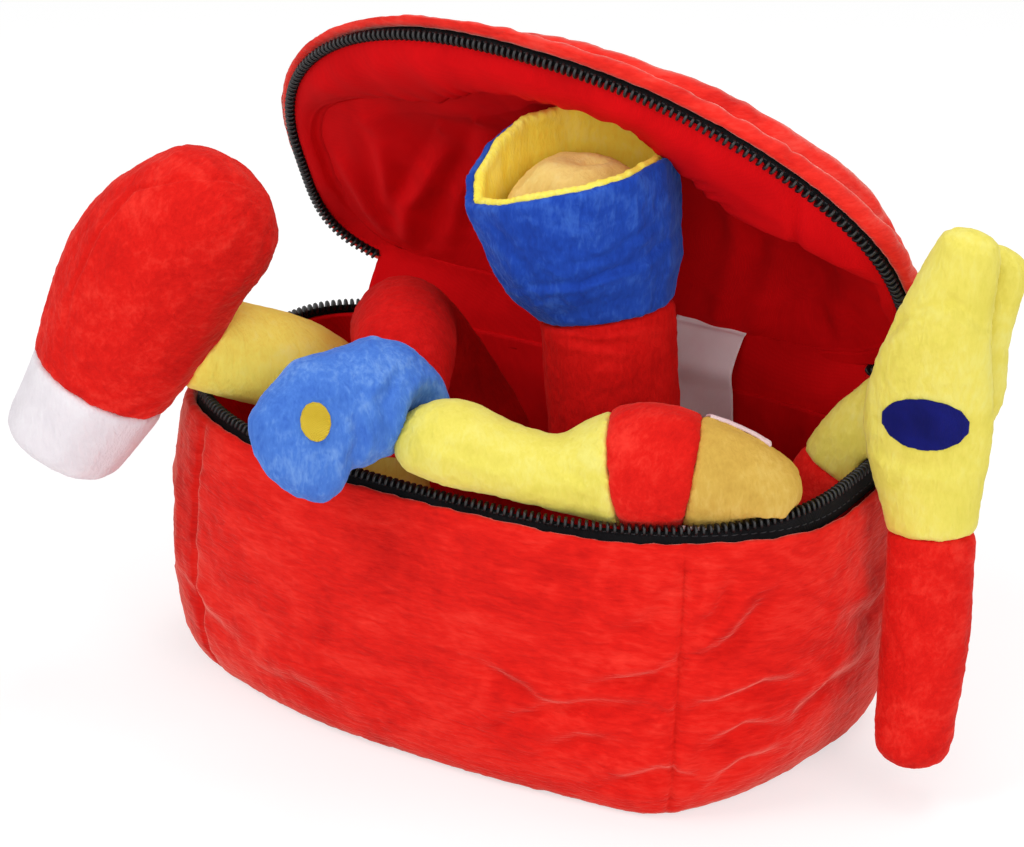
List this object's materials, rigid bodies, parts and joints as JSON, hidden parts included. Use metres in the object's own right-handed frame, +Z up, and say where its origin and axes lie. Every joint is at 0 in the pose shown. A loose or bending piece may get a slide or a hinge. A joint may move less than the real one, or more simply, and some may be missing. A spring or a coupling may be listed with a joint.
{
  "type": "toy tool box",
  "caption": "Soft toy tool bag with a zipped hinged lid standing open, holding a plush hammer, torch, screwdriver, wrench and pliers.",
  "frame": {"origin": "middle of the bag's flat bottom, on the ground", "axes": "+X to the bag's right along its length, the front faces -Y, +Z up; the lid opens about X at the back"},
  "size_m": [0.3079, 0.1703, 0.2222],
  "materials": {
    "red_plush": "short pile plush",
    "red_lining": "woven lining",
    "black_tape": "woven tape",
    "black_coil": "nylon coil",
    "black_slider": "painted zinc",
    "white_plush": "short pile plush",
    "yellow_plush": "short pile plush",
    "gold_plush": "short pile plush",
    "blue_plush": "short pile plush",
    "navy_cloth": "embroidered cloth",
    "label_satin": "satin ribbon"
  },
  "bodies": {
    "bag": {"body_front_panel": "red_plush", "body_right_panel": "red_plush", "body_back_panel": "red_plush", "body_left_panel": "red_plush", "body_base_panel": "red_plush", "body_lining": "red_lining", "body_zip_tape": "black_tape", "body_zip_coil": "black_coil", "hinge_seam": "red_plush", "zip_slider": "black_slider"},
    "lid": {"lid_front_band": "red_plush", "lid_right_band": "red_plush", "lid_back_band": "red_plush", "lid_left_band": "red_plush", "lid_top_panel": "red_plush", "lid_lining": "red_lining", "lid_zip_tape": "black_tape", "lid_zip_coil": "black_coil", "care_label": "label_satin"},
    "zip_pull": {"zip_pull": "black_slider"},
    "hammer": {"hammer_head": "red_plush", "hammer_face": "white_plush", "hammer_handle": "gold_plush"},
    "torch": {"torch_handle": "red_plush", "torch_cup": "blue_plush", "torch_cup_lining": "yellow_plush", "torch_pad": "yellow_plush"},
    "screwdriver": {"screwdriver_blade": "yellow_plush", "screwdriver_band": "red_plush", "screwdriver_handle": "gold_plush", "screwdriver_stripe_top": "white_plush", "screwdriver_stripe_bottom": "white_plush"},
    "wrench": {"wrench_head": "blue_plush", "wrench_handle": "red_plush", "wrench_spot_front": "yellow_plush", "wrench_spot_back": "yellow_plush"},
    "pliers": {"pliers_outer_jaw": "yellow_plush", "pliers_outer_grip": "red_plush", "pliers_pad_front": "navy_cloth"},
    "pliers_inner": {"pliers_inner_jaw": "yellow_plush", "pliers_inner_grip": "red_plush", "pliers_pad_back": "navy_cloth"}
  },
  "joints": [
    {"name": "lid_hinge", "type": "hinge", "parent": "bag", "child": "lid", "pos_m": [0, 0.0572, 0.0997], "axis": [-1, 0, 0], "range_deg": [0, 104]},
    {"name": "zip_pull_swing", "type": "hinge", "parent": "bag", "child": "zip_pull", "pos_m": [0.09033, 0.0393, 0.0991], "axis": [-0.6991, 0.7151, 0], "range_deg": [-5, 110]},
    {"name": "hammer_lift", "type": "slide", "parent": "bag", "child": "hammer", "axis": [-0.5997, -0.3698, 0.7096], "range_m": [0, 0.06]},
    {"name": "torch_lift", "type": "slide", "parent": "bag", "child": "torch", "axis": [-0.4306, -0.751, 0.5006], "range_m": [0, 0.034]},
    {"name": "screwdriver_lift", "type": "slide", "parent": "bag", "child": "screwdriver", "axis": [0.4501, 0.2001, 0.8703], "range_m": [0, 0.025]},
    {"name": "wrench_lift", "type": "slide", "parent": "bag", "child": "wrench", "axis": [-0.4983, 0, 0.867], "range_m": [0, 0.06]},
    {"name": "pliers_lift", "type": "slide", "parent": "bag", "child": "pliers", "axis": [-0.03, -0.5002, 0.8654], "range_m": [0, 0.04]},
    {"name": "pliers_pivot", "type": "hinge", "parent": "pliers", "child": "pliers_inner", "pos_m": [0.1301, 0.0207, 0.1206], "axis": [-0.2707, 0.9626, 0], "range_deg": [0, 4]}
  ]
}
